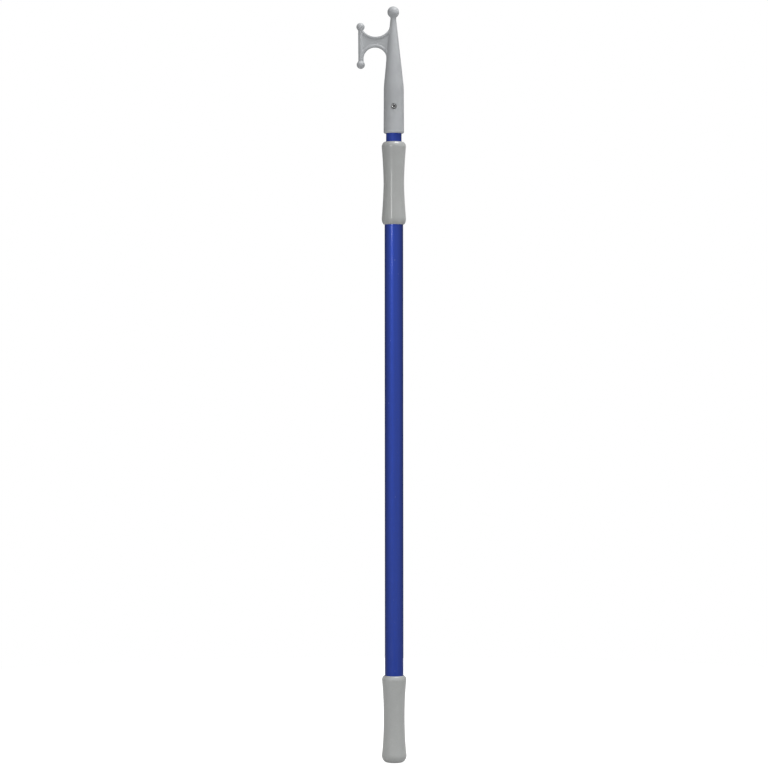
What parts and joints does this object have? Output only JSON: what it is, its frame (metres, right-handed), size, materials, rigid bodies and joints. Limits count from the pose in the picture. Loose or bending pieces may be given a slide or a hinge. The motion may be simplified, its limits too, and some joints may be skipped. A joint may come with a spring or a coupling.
{
  "type": "telescopic boat hook",
  "caption": "Twist-lock telescopic pole with a ball-tipped push-and-pull hook head and contoured soft grips, shown pushed together.",
  "frame": {"origin": "centre of the flat base of the lower grip", "axes": "+Z along the pole towards the hook, -X the side the hook points to, -Y the side the hook screw's head is on"},
  "size_m": [0.0797, 0.0402, 1.219],
  "materials": {
    "blue_aluminium": "satin",
    "grip_grey": "matte",
    "hook_grey": "satin",
    "cam_grey": "satin",
    "white_nylon": "satin",
    "black_rubber": "matte",
    "foam": "matte",
    "stainless": "polished",
    "rivet_aluminium": "satin"
  },
  "bodies": {
    "pole": {"outer_tube": "blue_aluminium", "lower_grip": "grip_grey", "upper_grip": "grip_grey", "bottom_plug": "white_nylon", "guide_bush": "white_nylon", "bush_rivet_left": "rivet_aluminium", "bush_rivet_right": "rivet_aluminium"},
    "wiper": {"wiper_ring": "black_rubber"},
    "inner_section": {"inner_tube": "blue_aluminium", "hook_head": "hook_grey", "hook_screw": "stainless", "float_plug_upper": "foam", "float_plug_lower": "foam", "lock_spindle": "white_nylon", "spindle_seal_ring": "black_rubber", "lock_pin": "stainless", "lock_end_cap": "white_nylon", "lock_end_screw": "stainless"},
    "cam": {"cam_ring": "cam_grey", "cam_drag_band": "black_rubber"}
  },
  "joints": [
    {"name": "twist", "type": "hinge", "parent": "pole", "child": "wiper", "pos_m": [0, 0, 0.9992], "axis": [0, 0, 1], "range_deg": [-60, 60]},
    {"name": "extend", "type": "slide", "parent": "wiper", "child": "inner_section", "axis": [0, 0, 1], "range_m": [0, 0.88]},
    {"name": "cam_turn", "type": "hinge", "parent": "inner_section", "child": "cam", "pos_m": [0.0007, 0, 0.0495], "axis": [0, 0, 1], "range_deg": [-60, 60]}
  ],
  "couplings": [
    {"joint": "cam_turn", "follows": "twist", "ratio": -1}
  ]
}
